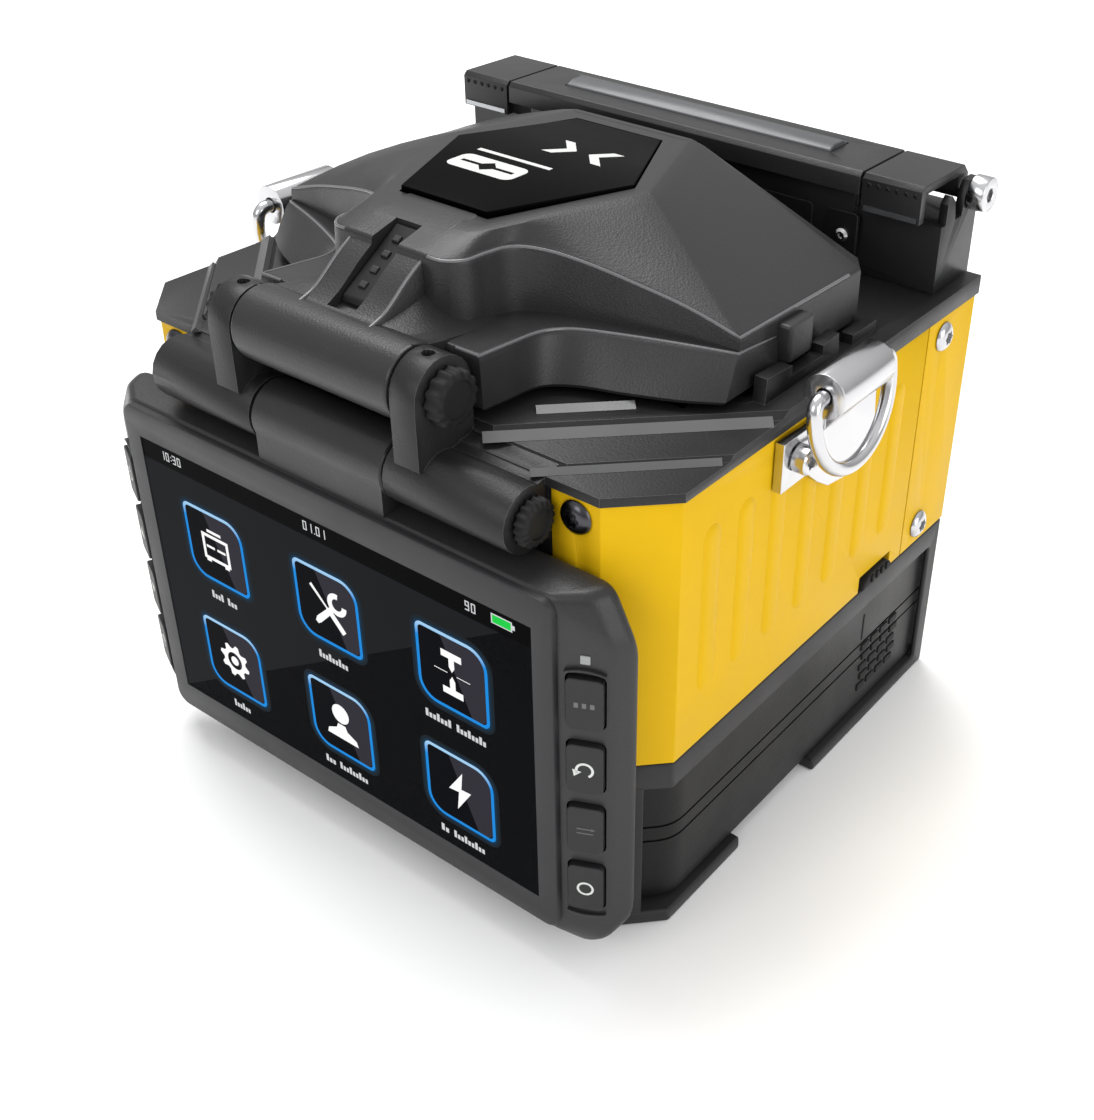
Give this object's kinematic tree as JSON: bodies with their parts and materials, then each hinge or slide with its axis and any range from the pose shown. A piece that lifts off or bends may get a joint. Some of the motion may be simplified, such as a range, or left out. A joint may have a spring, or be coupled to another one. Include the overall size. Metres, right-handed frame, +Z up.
{
  "type": "fiber fusion splicer",
  "caption": "Hand-carried fibre fusion splicer with a hinged front monitor, hinged wind cover over the splicing well, rear sleeve heater, strap rings and slide-out battery.",
  "frame": {"origin": "centre of the bounding box's footprint, on the surface the unit stands on", "axes": "+X to the right seen from the monitor, +Y from the monitor to the heater, +Z up"},
  "size_m": [0.16, 0.1366, 0.1382],
  "materials": {
    "frame_grey": "satin",
    "yellow_panel": "powder coat",
    "steel": "polished",
    "rubber": "matte",
    "deck_black": "satin",
    "black_shell": "fine grain",
    "aluminium": "satin",
    "screen_glass": "gloss",
    "label_gloss": "gloss",
    "window_smoke": "smoked",
    "circuit_green": "solder mask",
    "copper": "wound",
    "tungsten": "ground"
  },
  "bodies": {
    "chassis": {"arc_transformer": "copper", "base_frame": "frame_grey", "bracket_screw_left": "steel", "bracket_screw_right": "steel", "cover_hinge_pin": "steel", "cover_knob_left": "rubber", "cover_knob_right": "rubber", "electrode_clamp_front": "aluminium", "electrode_clamp_rear": "aluminium", "electrode_front": "tungsten", "electrode_rear": "tungsten", "front_screw_left": "steel", "front_screw_right": "steel", "heater_hinge_screw": "steel", "heater_plate": "aluminium", "heater_tower": "deck_black", "main_board": "circuit_green", "monitor_hinge_shaft": "steel", "monitor_knob_left": "rubber", "monitor_knob_right": "rubber", "objective_front": "rubber", "objective_rear": "rubber", "port_cover": "rubber", "rear_panel": "yellow_panel", "rear_screw_left_bottom": "steel", "rear_screw_left_top": "steel", "rear_screw_right_bottom": "steel", "rear_screw_right_top": "steel", "side_panel_left": "yellow_panel", "side_panel_right": "yellow_panel", "strap_bracket_left": "steel", "strap_bracket_right": "steel", "top_deck": "deck_black", "v_groove_block": "aluminium"},
    "monitor": {"monitor_case": "black_shell", "monitor_bezel": "frame_grey", "lcd_panel": "screen_glass"},
    "cover": {"wind_cover": "black_shell", "cover_label": "label_gloss", "cover_grip": "rubber", "fiber_presser": "aluminium"},
    "heater_lid": {"heater_lid": "black_shell", "heater_window": "window_smoke"},
    "battery": {"battery_pack": "deck_black"},
    "heater_clamp_right": {"heater_clamp_right": "black_shell"},
    "stage_right": {"fiber_stage_right": "aluminium"},
    "sheath_clamp_right": {"sheath_clamp_right": "black_shell"},
    "ring_right": {"strap_ring_right": "steel"},
    "heater_clamp_left": {"heater_clamp_left": "black_shell"},
    "stage_left": {"fiber_stage_left": "aluminium"},
    "sheath_clamp_left": {"sheath_clamp_left": "black_shell"},
    "ring_left": {"strap_ring_left": "steel"},
    "key_set": {"button_set": "rubber"},
    "key_reset": {"button_reset": "rubber"},
    "key_heat": {"button_heat": "rubber"},
    "key_arc": {"button_arc": "rubber"},
    "key_power": {"button_power": "rubber"},
    "key_up": {"button_up": "rubber"},
    "key_down": {"button_down": "rubber"},
    "key_back": {"button_back": "rubber"}
  },
  "joints": [
    {"name": "monitor_hinge", "type": "hinge", "parent": "chassis", "child": "monitor", "pos_m": [0, -0.0605, 0.1], "axis": [-1, 0, 0], "range_deg": [0, 90]},
    {"name": "cover_hinge", "type": "hinge", "parent": "chassis", "child": "cover", "pos_m": [0, -0.0592, 0.1174], "axis": [1, 0, 0], "range_deg": [0, 90]},
    {"name": "heater_lid_hinge", "type": "hinge", "parent": "chassis", "child": "heater_lid", "pos_m": [0, 0.0644, 0.129], "axis": [-1, 0, 0], "range_deg": [0, 90]},
    {"name": "battery_slide", "type": "slide", "parent": "chassis", "child": "battery", "axis": [0, 1, 0], "range_m": [0, 0.118]},
    {"name": "heater_clamp_right_hinge", "type": "hinge", "parent": "chassis", "child": "heater_clamp_right", "pos_m": [0.05685, 0.0644, 0.129], "axis": [-1, 0, 0], "range_deg": [0, 90]},
    {"name": "stage_right_slide", "type": "slide", "parent": "chassis", "child": "stage_right", "axis": [-1, 0, 0], "range_m": [-0.003, 0.004]},
    {"name": "sheath_clamp_right_hinge", "type": "hinge", "parent": "stage_right", "child": "sheath_clamp_right", "pos_m": [0.02875, 0.0082, 0.1076], "axis": [-1, 0, 0], "range_deg": [0, 90]},
    {"name": "ring_right_hinge", "type": "hinge", "parent": "chassis", "child": "ring_right", "pos_m": [0.0754, 0.0006, 0.1126], "axis": [0, -1, 0], "range_deg": [0, 150]},
    {"name": "heater_clamp_left_hinge", "type": "hinge", "parent": "chassis", "child": "heater_clamp_left", "pos_m": [-0.05685, 0.0644, 0.129], "axis": [-1, 0, 0], "range_deg": [0, 90]},
    {"name": "stage_left_slide", "type": "slide", "parent": "chassis", "child": "stage_left", "axis": [1, 0, 0], "range_m": [-0.003, 0.004]},
    {"name": "sheath_clamp_left_hinge", "type": "hinge", "parent": "stage_left", "child": "sheath_clamp_left", "pos_m": [-0.02875, 0.0082, 0.1076], "axis": [-1, 0, 0], "range_deg": [0, 90]},
    {"name": "ring_left_hinge", "type": "hinge", "parent": "chassis", "child": "ring_left", "pos_m": [-0.0754, 0.0006, 0.1126], "axis": [0, 1, 0], "range_deg": [0, 150]},
    {"name": "key_set_press", "type": "slide", "parent": "monitor", "child": "key_set", "axis": [-0.4217, 0.9067, 0], "range_m": [0, 0.001], "stiffness_N_per_m": 250},
    {"name": "key_reset_press", "type": "slide", "parent": "monitor", "child": "key_reset", "axis": [-0.4217, 0.9067, 0], "range_m": [0, 0.001], "stiffness_N_per_m": 250},
    {"name": "key_heat_press", "type": "slide", "parent": "monitor", "child": "key_heat", "axis": [-0.4217, 0.9067, 0], "range_m": [0, 0.001], "stiffness_N_per_m": 250},
    {"name": "key_arc_press", "type": "slide", "parent": "monitor", "child": "key_arc", "axis": [-0.4217, 0.9067, 0], "range_m": [0, 0.001], "stiffness_N_per_m": 250},
    {"name": "key_power_press", "type": "slide", "parent": "monitor", "child": "key_power", "axis": [0.4217, 0.9067, 0], "range_m": [0, 0.001], "stiffness_N_per_m": 250},
    {"name": "key_up_press", "type": "slide", "parent": "monitor", "child": "key_up", "axis": [0.4217, 0.9067, 0], "range_m": [0, 0.001], "stiffness_N_per_m": 250},
    {"name": "key_down_press", "type": "slide", "parent": "monitor", "child": "key_down", "axis": [0.4217, 0.9067, 0], "range_m": [0, 0.001], "stiffness_N_per_m": 250},
    {"name": "key_back_press", "type": "slide", "parent": "monitor", "child": "key_back", "axis": [0.4217, 0.9067, 0], "range_m": [0, 0.001], "stiffness_N_per_m": 250}
  ]
}
